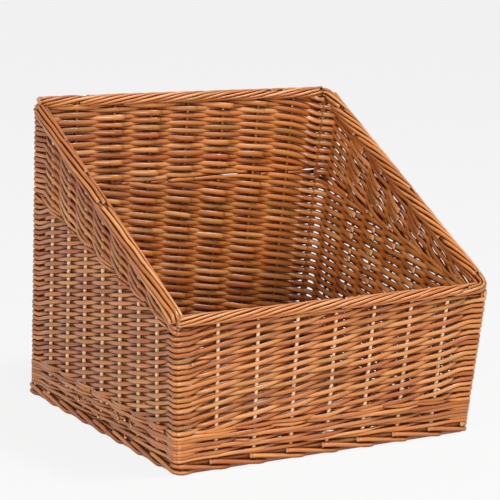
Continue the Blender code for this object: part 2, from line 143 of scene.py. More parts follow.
# Lamps: name, place, target, size and power
LAMPS = (
    ("key_lamp", (-0.6, -2.9, 0.80), (0, 0, 0.15), 0.8, 49),
    ("side_lamp", (-2.6, -1.3, 0.95), (0, 0, 0.15), 0.7, 40),
    ("top_lamp", (1.0, -0.9, 2.7), (0, 0, 0.2), 0.6, 60))
AIR_STRENGTH = 0.21
FLOOR_RADIUS, FLOOR_CORNERS, FLOOR_DROP, FLOOR_WHITE = 14, 96, 0.0002, 0.86
CAMERA_TURN, CAMERA_PLACE = (31.20, 11.62, 1.74), (-1.3977, -2.3053, 0.7808)
FOCAL_PIXELS, PICTURE_PIXELS, SENSOR = 2056, 500, 36

# Weave of a wall: its tier and its rods; functions for a rod's height, for where a rod belongs,
# for the limits it keeps to and for its side of a stake; the rods' thickness through the wall; and
# how many rods' heights a rod rises along it
Weave = namedtuple("Weave", "wall tier rods level belongs clamp side_of diameter rise")


def linear(code):
    """Linear colour of an sRGB hex value."""
    values = [int(code[start:start + 2], 16) / 255 for start in (1, 3, 5)]
    return [v / 12.92 if v <= 0.04045 else ((v + 0.055) / 1.055) ** 2.4 for v in values]


def length(name, description, default):
    """Length property in metres."""
    return FloatProperty(
        name=name, description=description, default=default, unit="LENGTH", precision=4)


def colour(name, description, code):
    """Colour property from an sRGB hex value."""
    return FloatVectorProperty(
        name=name, description=description, default=linear(code), subtype="COLOR", min=0, max=1)


class BasketSizes(bpy.types.PropertyGroup):
    """Sizes of the basket and of its rods."""
    base_width: length("Base width", "Width of the foot", 0.450)
    base_depth: length("Base depth", "Depth of the foot", 0.430)
    front_height: length("Front height", "Height of the front rim", 0.206)
    back_height: length("Back height", "Height of the back rim", 0.420)
    side_flare: length("Side flare", "How far each side leans out to the rim", 0.0145)
    front_flare: length("Front flare", "How far the front leans out to its rim", 0.0144)
    back_lean: length("Back lean", "How far the back leans forward to its rim", 0.034)
    stake_diameter: length("Stake diameter", "Diameter of the side stakes", 0.0050)
    stake_inset: length("Stake inset", "Distance of the stakes from the outer faces", 0.0087)
    post_diameter: length("Post diameter", "Diameter of the corner posts", 0.010)
    post_inset: length("Post inset", "Distance of the corner posts from the outer faces", 0.0169)
    weaver_depth: length("Weaver depth", "Thickness of the weavers through the wall", 0.0039)
    weaver_height: length("Weaver height", "Height of the weavers, pressed oval", 0.0069)
    waler_depth: length("Waler depth", "Thickness of the waling rods through the wall", 0.0040)
    waler_height: length("Waler height", "Height of the waling rods", 0.0052)
    pressing: length("Pressing", "How deep the rods are pressed into the stakes", 0.0006)
    foot_rod_diameter: length("Foot rod diameter", "Diameter of the foot's rods", 0.0062)
    weaver_pitch: length("Weaver pitch", "Height of one rod in the walls", 0.005377)
    upper_pitch: length("Upper pitch", "Height of one rod above the transition", 0.0053)
    waler_pitch: length("Waler pitch", "Height of one rod in the waled band", 0.0042)
    foot_height: length("Foot height", "Height of the foot border", 0.016)
    transition_height: length("Transition height", "Height of the transition at the back", 0.295)
    transition_gap: length("Transition gap", "Opening along the transition line", 0.0006)
    level_border: length("Level border", "Thickness of the front and back borders", 0.016)
    slope_border: length("Slope border", "Thickness of the sloping borders", 0.020)
    seed: IntProperty(name="Seed", description="Number that the irregularities follow", default=7)


class BasketColours(bpy.types.PropertyGroup):
    """Colours of the willow."""
    dark: colour("Dark bark", "Darkest rods and knots", "#6E3A12")
    brown: colour("Brown", "Brown buff rods", "#A85C24")
    buff: colour("Buff", "Buff rods, the most common", "#C97C3A")
    pale: colour("Pale", "Pale rods", "#E0A266")
    # Palest colour; the lit stakes reach it through their lifted finish, which is painted light
    peeled: colour("Peeled", "Palest stretches, and the stakes", "#F6CBA2")
    red: colour("Red", "Red tint of some rods", "#B0501C")
    olive: colour("Olive", "Greenish tint of some rods", "#8E7A36")
    cut: colour("Cut end", "Pith and wood at the cut ends", "#E8C79A")
    # Painted shade: the colour that the crevices between rods are darkened towards
    painted_crevice_shade: colour("Nook", "Stain where rods lie on each other", "#4C0E00")


# Shape of the walls


def corner_line(sizes, corner, height, inset):
    """Corner line of the outer faces, straight from the foot to the rim, moved in from both."""
    side, end = corner
    half_depth = (sizes.base_depth + sizes.front_flare) / 2
    share = np.asarray(height, float) / corner_top(sizes, corner)
    across = side * (sizes.base_width / 2 + sizes.side_flare * share - inset)
    if end < 0:
        deep = sizes.front_flare - half_depth - sizes.front_flare * share + inset
    else:
        deep = half_depth - sizes.back_lean * share - inset
    return np.stack(np.broadcast_arrays(across, deep, height), -1)


def corner_top(sizes, corner):
    """Height of the rim at a corner."""
    return sizes.front_height if corner[1] < 0 else sizes.back_height


def wall_point(sizes, wall, share, height, offset=0.0):
    """Point of a wall: on the straight line from foot to rim at a share of the wall's length, at
    the height, and moved outwards by the offset."""
    *corners, normal = WALLS[wall]
    share, height, offset = np.broadcast_arrays(share, height, offset)
    mix = share[..., None]

    def between(heights):
        left, right = (
            corner_line(sizes, corner, top, sizes.stake_inset)
            for corner, top in zip(corners, heights))
        return left * (1 - mix) + right * mix

    foot, rim = between((0.0, 0.0)), between([corner_top(sizes, corner) for corner in corners])
    upright = (rim - foot) * (height / rim[..., 2])[..., None]
    return foot + upright + np.array(normal) * offset[..., None]


def deep_at(sizes, wall, station, height):
    """Place along Y of a wall's point."""
    return wall_point(sizes, wall, station / GAPS, height)[..., 1]


def slope_angle(sizes):
    """Angle of the sloping rims."""
    run = sizes.base_depth + sizes.front_flare - sizes.back_lean
    return math.atan2(sizes.back_height - sizes.front_height, run)


def slope_height(sizes, deep):
    """Height of the sloping rim at a distance along Y."""
    front_rim = -(sizes.base_depth + sizes.front_flare) / 2
    return sizes.front_height + (deep - front_rim) * math.tan(slope_angle(sizes))


def slope_cover(sizes):
    """Height that the sloping border covers below the rim."""
    return sizes.slope_border / math.cos(slope_angle(sizes)) + SEAT


def below_slope(sizes, deep_of):
    """Height at which a stake or post ends inside the sloping border, found step by step, as its
    place along Y changes with it."""
    height = sizes.transition_height
    for _ in range(6):
        height = slope_height(sizes, deep_of(height)) - slope_cover(sizes) * STAKE_COVER
    return height


def transition_level(sizes, deep):
    """Height of the transition line on a side wall: straight from the front rim to the back."""
    half_depth = (sizes.base_depth + sizes.front_flare) / 2
    start = sizes.front_height - slope_cover(sizes)
    share = (deep - sizes.front_flare + half_depth) / sizes.base_depth
    return start + (sizes.transition_height - start) * share


def wale_bottom(sizes):
    """Height of the underside of the waled band."""
    return sizes.foot_height + SEAT


def weave_bottom(sizes):
    """Height of the top of the waled band, where the randed weave starts."""
    return wale_bottom(sizes) + WALE_RODS * sizes.waler_pitch + SEAT


# Meshes and rods


def tubes(name, centres, tangents, references, radii, rods, looks, sides, finish, tall=1.0):
    """Rods in one mesh. At each centre stands a ring: radius times the cosine and sine of an
    equally stepped angle, along the two directions square to the tangent, the one that is square
    to the reference too made tall times longer. Rings of one rod that follow each other are joined
    by four-sided faces, and its two ends are closed by flat faces."""
    across = np.cross(tangents, references)
    across /= np.linalg.norm(across, axis=1)[:, None]
    forward = tangents / np.linalg.norm(tangents, axis=1)[:, None]
    upward = np.cross(forward, across)
    angle = np.arange(sides) * math.tau / sides
    ring = tall * np.cos(angle)[None, :, None] * across[:, None]
    ring = ring + np.sin(angle)[None, :, None] * upward[:, None]
    verts = (centres[:, None] + radii[:, None, None] * ring).reshape(-1, 3)

    follows = rods[1:] == rods[:-1]
    joined = np.flatnonzero(follows)
    corner = np.arange(sides)
    after = (corner + 1) % sides
    low = joined[:, None] * sides
    quads = np.stack([low + corner, low + after, low + sides + after, low + sides + corner], -1)
    starts = np.flatnonzero(np.r_[True, ~follows])
    ends = np.flatnonzero(np.r_[~follows, True])
    caps = np.concatenate([starts[:, None] * sides + corner[::-1], ends[:, None] * sides + corner])
    loops = np.concatenate([quads.reshape(-1), caps.reshape(-1)])
    quad_count = quads.shape[0] * sides
    cap_starts = quad_count * 4 + np.arange(len(caps)) * sides
    loop_starts = np.r_[np.arange(quad_count) * 4, cap_starts]

    # UV: length along the rod in metres, and share of the way round it
    run = np.cumsum(np.linalg.norm(np.diff(centres, axis=0, prepend=centres[:1]), axis=1))
    run -= np.repeat(run[starts], np.diff(np.r_[starts, len(rods)]))
    along = np.stack([run[joined], run[joined], run[joined + 1], run[joined + 1]], -1)
    along = np.repeat(along[:, None], sides, axis=1).reshape(-1)
    round_share = np.stack([corner, corner + 1, corner + 1, corner], -1) / sides
    around = np.repeat(round_share[None], len(joined), axis=0).reshape(-1)
    along = np.r_[along, np.repeat(np.concatenate([run[starts], run[ends]]), sides)]
    around = np.r_[around, np.tile(corner / sides, len(caps))]

    mesh = bpy.data.meshes.new(name)
    mesh.vertices.add(len(verts))
    mesh.vertices.foreach_set("co", verts.reshape(-1))
    mesh.loops.add(len(loops))
    mesh.loops.foreach_set("vertex_index", loops.astype(np.int32))
    mesh.polygons.add(len(loop_starts))
    mesh.polygons.foreach_set("loop_start", loop_starts.astype(np.int32))
    smooth = np.arange(len(loop_starts)) < quad_count
    mesh.polygons.foreach_set("use_smooth", smooth)
    mesh.update(calc_edges=True)
    for material in (finish, "cut_willow_end"):
        mesh.materials.append(bpy.data.materials[material])
    mesh.polygons.foreach_set("material_index", np.where(smooth, 0, 1).astype(np.int32))
    uv = mesh.uv_layers.new(name="rod_uv")
    uv.data.foreach_set("uv", np.stack([along, around], -1).reshape(-1))
    look = mesh.attributes.new("rod_look", "FLOAT_VECTOR", "POINT")
    per_ring = np.asarray(looks)[rods]
    look.data.foreach_set("vector", np.repeat(per_ring, sides, axis=0).reshape(-1))
    mesh.validate()
    piece = bpy.data.objects.new(name, mesh)
    bpy.context.scene.collection.objects.link(piece)
    return piece


def place_piece(piece, slot_name, *nodes):
    """The piece rides on the basket's body and stands for its nodes, which are hidden; its slot
    name is not used.
    """
    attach(piece, "root")
    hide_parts(*nodes)


def rod_looks(rng, count, spread, start):
    """Tone, tint and one spare number for each rod: a random share of the spread past the start."""
    return rng.uniform(0, 1, (count, 3)) * (*spread, 1) + (*start, 0)


def polyline_tangents(points, rods):
    """Tangents along rods given as points: from the point before to the point after, or at an end
    from the end to its one neighbour."""
    index = np.arange(len(rods))
    follows = rods[1:] == rods[:-1]
    before = np.where(np.r_[False, follows], index - 1, index)
    after = np.where(np.r_[follows, False], index + 1, index)
    return points[after] - points[before]


def wobble(seed, place):
    """Smooth irregular number between about -1 and 1: four sines of unlike wavelengths."""
    rng = np.random.default_rng(seed)
    total = np.zeros(np.shape(place))
    for number in range(1, 5):
        phase, stretch = rng.uniform(0, math.tau), rng.uniform(0.7, 1.4)
        total += np.sin(place * stretch * number + phase) / number
    return total / 1.6


def smooth_step(share):
    """Share between 0 and 1, eased at both ends: three times its square less twice its cube."""
    return share * share * (3 - 2 * share)


# Weave of a wall


def corner_tables(sizes, corner, tier):
    """Looks, thickness and place of the rods where they turn round a corner, the same for both
    walls that meet there."""
    rng = np.random.default_rng([sizes.seed, CORNERS.index(corner), tier])
    return {
        "look": rng.uniform(0, 1, (TABLE_LENGTH, 3)),
        "thick": rng.normal(1, 0.05, TABLE_LENGTH).clip(0.92, 1.08),
        "shift": rng.normal(0, 0.0002, TABLE_LENGTH),
    }


def plain_side(rod, station):
    """Randing: outside every other stake, and the next rod outside the others."""
    return np.where((rod + station) % 2 == 0, 1.0, -1.0)


def wale_side(rod, station):
    """Three-rod wale: outside two stakes and inside the third."""
    return np.where((rod + station) % 3 == 0, -1.0, 1.0)


def corner_side(tier, corner, rod):
    """Side of a corner's post on which a rod passes: 1 outside, and -1 inside."""
    if tier == WALE:
        return 1.0
    if corner == ALTERNATING_CORNER:
        return float(plain_side(rod, 0))
    return -1.0 if rod % 4 == 1 else 1.0


def at_corner(station):
    """Whether a station is one of the two corners."""
    return (station == 0) | (station == GAPS)


def eased(station):
    """Station that stays level next to both corners, so that the rods of two walls meet at one
    height, and is the plain station between the first stake and the last."""
    station = np.asarray(station, float)
    first = np.clip((station - LEVEL_SHARE) / (1 - LEVEL_SHARE), 0, 1)
    last = GAPS - 1 + np.clip((station - GAPS + 1) / (1 - LEVEL_SHARE), 0, 1)
    return np.where(station < 1, first, np.where(station > GAPS - 1, last, station))


def reach_from(sizes, wall, at_left, station, height):
    """Distance along a wall from the outer face of the wall round its left or right corner."""
    plain = wall_point(sizes, wall, station / GAPS, height)
    corner = wall_point(sizes, wall, 0.0 if at_left else 1.0, height)
    beyond = np.sign(station if at_left else GAPS - station)
    return np.linalg.norm(plain - corner, axis=-1) * beyond + sizes.stake_inset


def station_of(sizes, wall, at_left, reach, height):
    """Station at a distance from the outer face round a corner, by three corrections of a
    guess."""
    station = (reach - sizes.stake_inset) / GAP_LENGTH
    if not at_left:
        station = GAPS - station
    for _ in range(3):
        error = reach - reach_from(sizes, wall, at_left, station, height)
        station = station + error / GAP_LENGTH * (1 if at_left else -1)
    return station


def rod_spans(sizes, weave, left_table, right_table):
    """Stretches of the rods: first and last station, whether each is a corner, look, thickness,
    reach before and beyond, and whether it starts with a butt. A rod lies between the first and
    the last stake where it belongs, and is cut at an inside stake, where a new one starts."""
    rng = np.random.default_rng([sizes.seed, list(WALLS).index(weave.wall), weave.tier, 5])
    marks = np.arange(GAPS + 1.0)

    def stretch(rod, station, step):
        """How far a rod goes on past its last stake before it meets the edge of its weave."""
        shares = np.linspace(0, 0.9, 19)
        spots = station + step * shares
        fits = weave.belongs(spots, weave.level(np.full(spots.shape, rod), spots))
        return float(np.clip(shares[fits].max() + 0.15, 0.35, 0.95))

    spans = []
    for rod in weave.rods:
        heights = weave.level(np.full(marks.shape, rod), marks)
        held = marks[weave.belongs(marks, heights)]
        if len(held) == 0:
            continue
        first, last = held[0], held[-1]
        from_corner, to_corner = first == 0, last == GAPS
        breaks = [
            stake for stake in range(2, GAPS - 1)
            if weave.side_of(rod, stake) < 0 and first + 1 < stake < last - 1]
        entry, leave = (
            (table["look"][place], table["thick"][place]) for table, place in (
                (left_table, rod + TABLE_START), (right_table, rod + TABLE_START + weave.rise)))
        low_start = heights[int(first)] < heights.min() + 0.002 and weave.tier == LOWER
        before = 0.3 if low_start or from_corner else stretch(rod, first, -1)
        beyond = 0.0 if to_corner else stretch(rod, last, 1)
        if breaks:
            cut = float(rng.choice(breaks))
            spans.append((rod, first, cut, from_corner, False, *entry, before, TIP_REACH, False))
            spans.append((rod, cut, last, False, to_corner, *leave, BUTT_REACH, beyond, True))
        else:
            look = entry if from_corner else leave
            spans.append((rod, first, last, from_corner, to_corner, *look, before, beyond, False))
    return spans


def rod_rings(sizes, weave, spans):
    """Columns with a value for each ring of the rods, and a list of the rods' looks."""
    left, right, _ = WALLS[weave.wall]

    def turn(rod, at_left, side, radius):
        """Stations from the mitre of a corner to where the turn round its post starts."""
        height = weave.level(np.array([rod]), np.array([0.0 if at_left else float(GAPS)]))
        swing = sizes.stake_diameter / 2 + radius - sizes.pressing
        outer = OUTER_TURN - (OUTER_TURN - sizes.stake_inset + swing) * DIAGONAL
        inner = sizes.post_inset + (sizes.post_diameter / 2 + radius) * DIAGONAL
        mitre, free = (outer, OUTER_TURN) if side > 0 else (inner, INNER_TURN)
        reach = np.linspace(mitre - MITRE_OVERLAP, free, CORNER_RINGS)
        return station_of(sizes, weave.wall, at_left, reach, height)

    columns, looks = {}, []
    for number, span in enumerate(spans):
        rod, first, last, from_corner, to_corner, look, thick, before, beyond, butt = span
        radius = weave.diameter / 2 * thick
        low_side = corner_side(weave.tier, left, rod) if from_corner else -1.0
        high_side = corner_side(weave.tier, right, rod + weave.rise) if to_corner else -1.0
        head = turn(rod, True, low_side, radius) if from_corner else np.array([])
        tail = turn(rod, False, high_side, radius)[::-1] if to_corner else np.array([])
        start = head[-1] if from_corner else first - before
        stop = tail[0] if to_corner else last + beyond
        middle = np.linspace(start, stop, int((stop - start) * RINGS_PER_GAP) + 2)
        middle = middle[int(from_corner):len(middle) - int(to_corner)]
        spots = np.concatenate([head, middle, tail])
        values = {
            "span": number, "rod": rod, "spot": spots, "thick": thick,
            "first": BEFORE_ALL if from_corner else first,
            "last": AFTER_ALL if to_corner else last,
            "life": (spots - spots[0]) / (spots[-1] - spots[0]),
            "butt": butt, "free_end": not to_corner, "low": low_side, "high": high_side}
        for name, value in values.items():
            columns.setdefault(name, []).append(value * np.ones(spots.shape))
        looks.append(look)
    return {name: np.concatenate(values) for name, values in columns.items()}, looks


def lay_weave(sizes, weave):
    """Rods of one wall. A rod's height comes from the level function of rod and station. Between
    two stakes its distance from their line is half a cosine wave, from outside one to inside the
    next. Round a corner its plan is part of a circle that touches both walls: outside the post a
    small one, inside the post a large one that starts a gap away."""
    left, right, _ = WALLS[weave.wall]
    left_table, right_table = (
        corner_tables(sizes, corner, weave.tier) for corner in (left, right))
    column, looks = rod_rings(sizes, weave, rod_spans(sizes, weave, left_table, right_table))
    rod, first, last = column["rod"].astype(int), column["first"], column["last"]
    radius = weave.diameter / 2 * column["thick"]
    swing = sizes.stake_diameter / 2 + radius - sizes.pressing
    inset = sizes.stake_inset
    place = list(WALLS).index(weave.wall)

    def outer_turn(reach, offset):
        """Circle round the outside of a post, into which the wave fades within 30 mm."""
        bend = OUTER_TURN - inset + swing
        outside = np.clip(OUTER_TURN - reach, 0, bend * CIRCLE_SHARE)
        circle = inset - (OUTER_TURN - np.sqrt(bend ** 2 - outside ** 2))
        near = smooth_step(np.clip(1 - (reach - OUTER_TURN) / 0.030, 0, 1))
        return np.where(reach < OUTER_TURN, circle, offset * (1 - near) + swing * near)

    def inner_turn(reach, offset):
        """Wide circle across the inside of a post."""
        mitre = sizes.post_inset + (sizes.post_diameter / 2 + radius) * DIAGONAL
        wide = (mitre - inset) / (1 - DIAGONAL)
        within = np.clip(wide + inset - reach, 0, wide * CIRCLE_SHARE)
        return offset - (wide - np.sqrt(wide ** 2 - within ** 2))

    def offset_of(station, inner, height):
        """Distance outwards from the stakes' line."""
        low = np.clip(np.floor(inner), 0, GAPS - 1).astype(int)
        high = low + 1
        low_side = np.where(low < first, -1.0, weave.side_of(rod, low))
        high_side = np.where(high > last, -1.0, weave.side_of(rod, high))
        low_side = np.where(low == 0, 0.0, low_side)
        high_side = np.where(high == GAPS, 0.0, high_side)
        share = inner - low
        share = np.where(low == 0, (share - CORNER_REST) / (1 - CORNER_REST), share)
        share = np.clip(np.where(high == GAPS, share / (1 - CORNER_REST), share), 0, 1)
        # A little of the third overtone makes the bends at the stakes tighter
        wave = 0.94 * np.cos(math.pi * share) + 0.06 * np.cos(3 * math.pi * share)
        offset = ((low_side + high_side) / 2 + (low_side - high_side) / 2 * wave) * swing
        for at_left, side, turns, half in (
                (True, column["low"], first < 0, station < GAPS / 2),
                (False, column["high"], last > GAPS, station > GAPS / 2)):
            reach = reach_from(sizes, weave.wall, at_left, station, height)
            turned = np.where(side > 0, outer_turn(reach, offset), inner_turn(reach, offset))
            offset = np.where(turns & half, turned, offset)
        # A new rod starts deeper inside, so that its butt lies on the tip of the old one
        fresh = np.clip(1 - (station - first) / 0.6, 0, 1) * column["butt"]
        return offset - fresh ** 2 * radius * 1.6

    def shift_of(inner, height):
        """Small moves up or down: each rod's own at the corners, a slow drift between them, and
        the even spread of the rods that pass outside a post."""
        shift = left_table["shift"][rod + TABLE_START] * (1 - inner / GAPS)
        shift = shift + right_table["shift"][rod + TABLE_START + weave.rise] * (inner / GAPS)
        drift = wobble([sizes.seed, weave.tier, 3], inner * 1.7 + height * 45 + place * 5)
        jitter = wobble([sizes.seed, weave.tier, 4], rod * 37.7 + inner * 2.1)
        shift = shift + np.sin(math.pi * inner / GAPS) * (0.0007 * drift + 0.0002 * jitter)
        for corner, slot, away in ((left, rod, inner), (right, rod + weave.rise, GAPS - inner)):
            if weave.tier != WALE and corner != ALTERNATING_CORNER:
                near = smooth_step(np.clip(1 - away / 0.9, 0, 1))
                shift = shift + EVEN_STEPS[slot % 4] * sizes.weaver_pitch * near
        return shift

    def path(station):
        inner = np.clip(station, 0, GAPS)
        height = weave.clamp(rod, station, weave.level(rod, inner))
        offset = offset_of(station, inner, height)
        return wall_point(
            sizes, weave.wall, station / GAPS, height + shift_of(inner, height), offset)

    here, step = column["spot"], 0.01
    centres = path(here)
    tangents = path(here + step) - path(here - step)
    life, butt, free_end = column["life"], column["butt"], column["free_end"]
    tip = 1 - 0.12 * life ** 2 * free_end
    heavy = 1 + 0.08 * (1 - life) ** 2 * butt
    end = np.clip((here - last) / TAPER, 0, 1) * free_end
    begin = np.clip((first - here) / TAPER, 0, 1) * (1 - butt)
    radii = radius * tip * heavy * (1 - 0.35 * end) * (1 - 0.3 * begin)
    return centres, tangents, radii, column["span"].astype(int), np.array(looks)


def weave_piece(sizes, name, weave, slot_name, node, tall):
    """Piece made of the rods of a wall's weave, whose sections are taller than deep."""
    centres, tangents, radii, rods, looks = lay_weave(sizes, weave)
    normal = np.array(WALLS[weave.wall][2], float)
    piece = tubes(
        name, centres, tangents, normal, radii, rods, looks, 8, "buffed_willow_rod", tall)
    place_piece(piece, slot_name, node)


def lower_weave(sizes, wall):
    """French randing of a wall: the rods climb by the wall's climb from each stake to the next."""
    base = weave_bottom(sizes)
    pitch = sizes.weaver_pitch
    climb = CLIMBS[wall]
    rise = int(climb * GAPS)

    def level(rod, station):
        return base + (rod + climb * eased(station) + 0.5) * pitch

    def ceiling(station, height):
        if wall == "front":
            top = sizes.front_height - sizes.level_border + 0.4 * pitch
            return np.full(np.shape(height), top)
        if wall == "back":
            return np.full(np.shape(height), sizes.transition_height - sizes.transition_gap / 2)
        deep = deep_at(sizes, wall, station, height)
        return transition_level(sizes, deep) - sizes.transition_gap / 2

    def belongs(station, height):
        floor = base - np.where(at_corner(station), 0.0, (climb - 0.4) * pitch)
        spare = np.where(at_corner(station), -0.1, 0.5) * pitch
        return (height >= floor) & (height <= ceiling(station, height) + spare)

    def clamp(rod, station, height):
        top = ceiling(station, height) - 0.42 * pitch
        return np.clip(height, base + (0.25 + 0.15 * (rod % 2)) * pitch, top)

    return Weave(
        wall, LOWER, range(-rise - 1, 52), level, belongs, clamp, plain_side,
        sizes.weaver_depth, rise)


def upper_weave(sizes, wall):
    """Weave above the transition line. On the back it climbs from the corner that is on the right
    in the picture and levels off. On the sides its rods leave the back corner level, and then run
    down along the sloping rim: height falls by the slope's tangent for each length from the
    corner, less a rounding that dies away exponentially."""
    base = sizes.transition_height + sizes.transition_gap / 2
    pitch = sizes.upper_pitch
    tangent = math.tan(slope_angle(sizes))
    rounding, level_length = 0.014, 0.024
    # Gaps within which the back's climb falls to a third
    settling = 2.2
    rise = 6 if wall == "back" else 2
    back_share = 0.0 if wall == "left" else 1.0

    def level(rod, station):
        if wall == "back":
            climbed = 1 - np.exp(-eased(station) / settling)
            return base + (rod + rise * climbed / (1 - math.exp(-GAPS / settling)) + 0.5) * pitch
        height = start = base + (rod + eased(station) * rise / GAPS + 0.5) * pitch
        for _ in range(4):
            corner = wall_point(sizes, wall, back_share, height)[..., 1]
            plain = deep_at(sizes, wall, np.asarray(station), height)
            away = np.clip(corner - plain - level_length, 0, None)
            height = start - tangent * (away - rounding * (1 - np.exp(-away / rounding)))
        return height

    def floor(station, height):
        if wall == "back":
            return np.full(np.shape(height), base)
        deep = deep_at(sizes, wall, station, height)
        return transition_level(sizes, deep) + sizes.transition_gap / 2

    def ceiling(station, height):
        if wall == "back":
            top = sizes.back_height - sizes.level_border + 0.4 * pitch
            return np.full(np.shape(height), top)
        deep = deep_at(sizes, wall, station, height)
        return slope_height(sizes, deep) - slope_cover(sizes) + 0.6 * pitch

    def belongs(station, height):
        spare = np.where(at_corner(station), 0.1, -0.5) * pitch
        return (height >= floor(station, height) + spare) & (height <= ceiling(station, height))

    def clamp(rod, station, height):
        low = floor(station, height) + 0.42 * pitch
        return np.clip(height, low, ceiling(station, height))

    return Weave(
        wall, UPPER, range(-rise - 5, 26), level, belongs, clamp, plain_side,
        sizes.weaver_depth, rise)


def wale(sizes, wall):
    """Three-rod wale round the foot of a wall, climbing two rods' heights along it."""
    base = wale_bottom(sizes)
    pitch = sizes.waler_pitch
    top = weave_bottom(sizes) - SEAT

    def level(rod, station):
        return base + (rod + eased(station) * WALE_RISE / GAPS + 0.5) * pitch

    def belongs(station, height):
        spare = np.where(at_corner(station), 0.0, 0.3 * pitch)
        return (height >= base - spare) & (height <= top + spare)

    def clamp(rod, station, height):
        return np.clip(height, base + 0.4 * pitch, top - 0.4 * pitch)

    return Weave(
        wall, WALE, range(-WALE_RISE, WALE_RODS), level, belongs, clamp, wale_side,
        sizes.waler_depth, WALE_RISE)


def straight_rods(name, starts, ends, radii, looks, sides, rings, finish, sway=0.0004):
    """Nearly straight rods: points between two ends, with a small sway of sines, and a thickness
    that falls a little from the butt to the tip."""
    starts, ends = np.asarray(starts, float), np.asarray(ends, float)
    count = len(starts)
    share = np.linspace(0, 1, rings)
    mix = share[None, :, None]
    points = starts[:, None] * (1 - mix) + ends[:, None] * mix
    swing = np.sin(math.pi * share)[None] * sway
    number = np.arange(count)[:, None]
    for axis, spread in ((0, 9.1), (1, 7.7)):
        points[..., axis] += swing * wobble([11 + axis, count], number * spread + share[None] * 5)
    rods = np.repeat(np.arange(count), rings)
    centres = points.reshape(-1, 3)
    thick = (np.asarray(radii)[:, None] * (1 - 0.06 * share[None])).reshape(-1)
    tangents = polyline_tangents(centres, rods)
    steep = np.abs(tangents[:, 2]) > 0.7 * np.linalg.norm(tangents, axis=1)
    references = np.where(steep[:, None], np.array([[1.0, 0, 0]]), UP[None])
    return tubes(name, centres, tangents, references, thick, rods, looks, sides, finish)


# Finishes


def add_node(tree, kind, settings=None, links=None):
    """Shader node of a kind, with its settings (by attribute or by input) and what its inputs are
    linked to: sockets, or nodes for their first output."""
    node = tree.nodes.new("ShaderNode" + kind)
    for key, value in (settings or {}).items():
        if isinstance(key, str) and hasattr(node, key):
            setattr(node, key, value)
        else:
            node.inputs[key].default_value = value
    for key, source in (links or {}).items():
        socket = source.outputs[0] if isinstance(source, bpy.types.Node) else source
        tree.links.new(socket, node.inputs[key])
    return node


def new_material(name):
    """Material, its nodes and its shader."""
    material = bpy.data.materials.new(name)
    material.use_nodes = True
    return material, material.node_tree, material.node_tree.nodes["Principled BSDF"]


